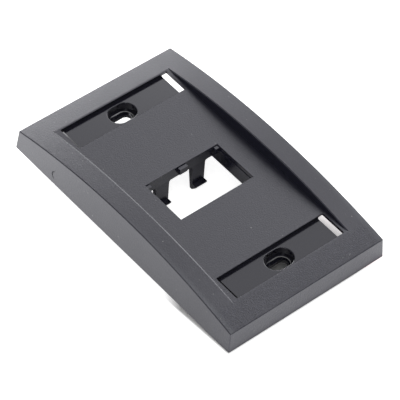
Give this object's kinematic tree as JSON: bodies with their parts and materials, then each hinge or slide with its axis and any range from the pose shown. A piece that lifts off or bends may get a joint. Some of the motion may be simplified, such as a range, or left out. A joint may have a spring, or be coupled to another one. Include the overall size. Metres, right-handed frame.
{
  "type": "keystone faceplate",
  "caption": "Arched single-gang wall plate with a collared opening for jack modules, recessed label seats and slotted screw holes.",
  "frame": {"origin": "centre of the back plane, where the edge of the plate meets the wall; the spring arms reach behind it", "axes": "+Z out of the face, away from the wall; +Y along the length of the plate, towards the wall of the opening that carries the spring arms; +X across the plate, towards the snap slots of the label recesses"},
  "size_m": [0.0698, 0.1142, 0.0205],
  "materials": {
    "black_plastic": "black ABS, fine satin texture on the outer faces, smoother in the recesses and the opening"
  },
  "bodies": {
    "root": {"faceplate": "black_plastic"}
  },
  "joints": []
}
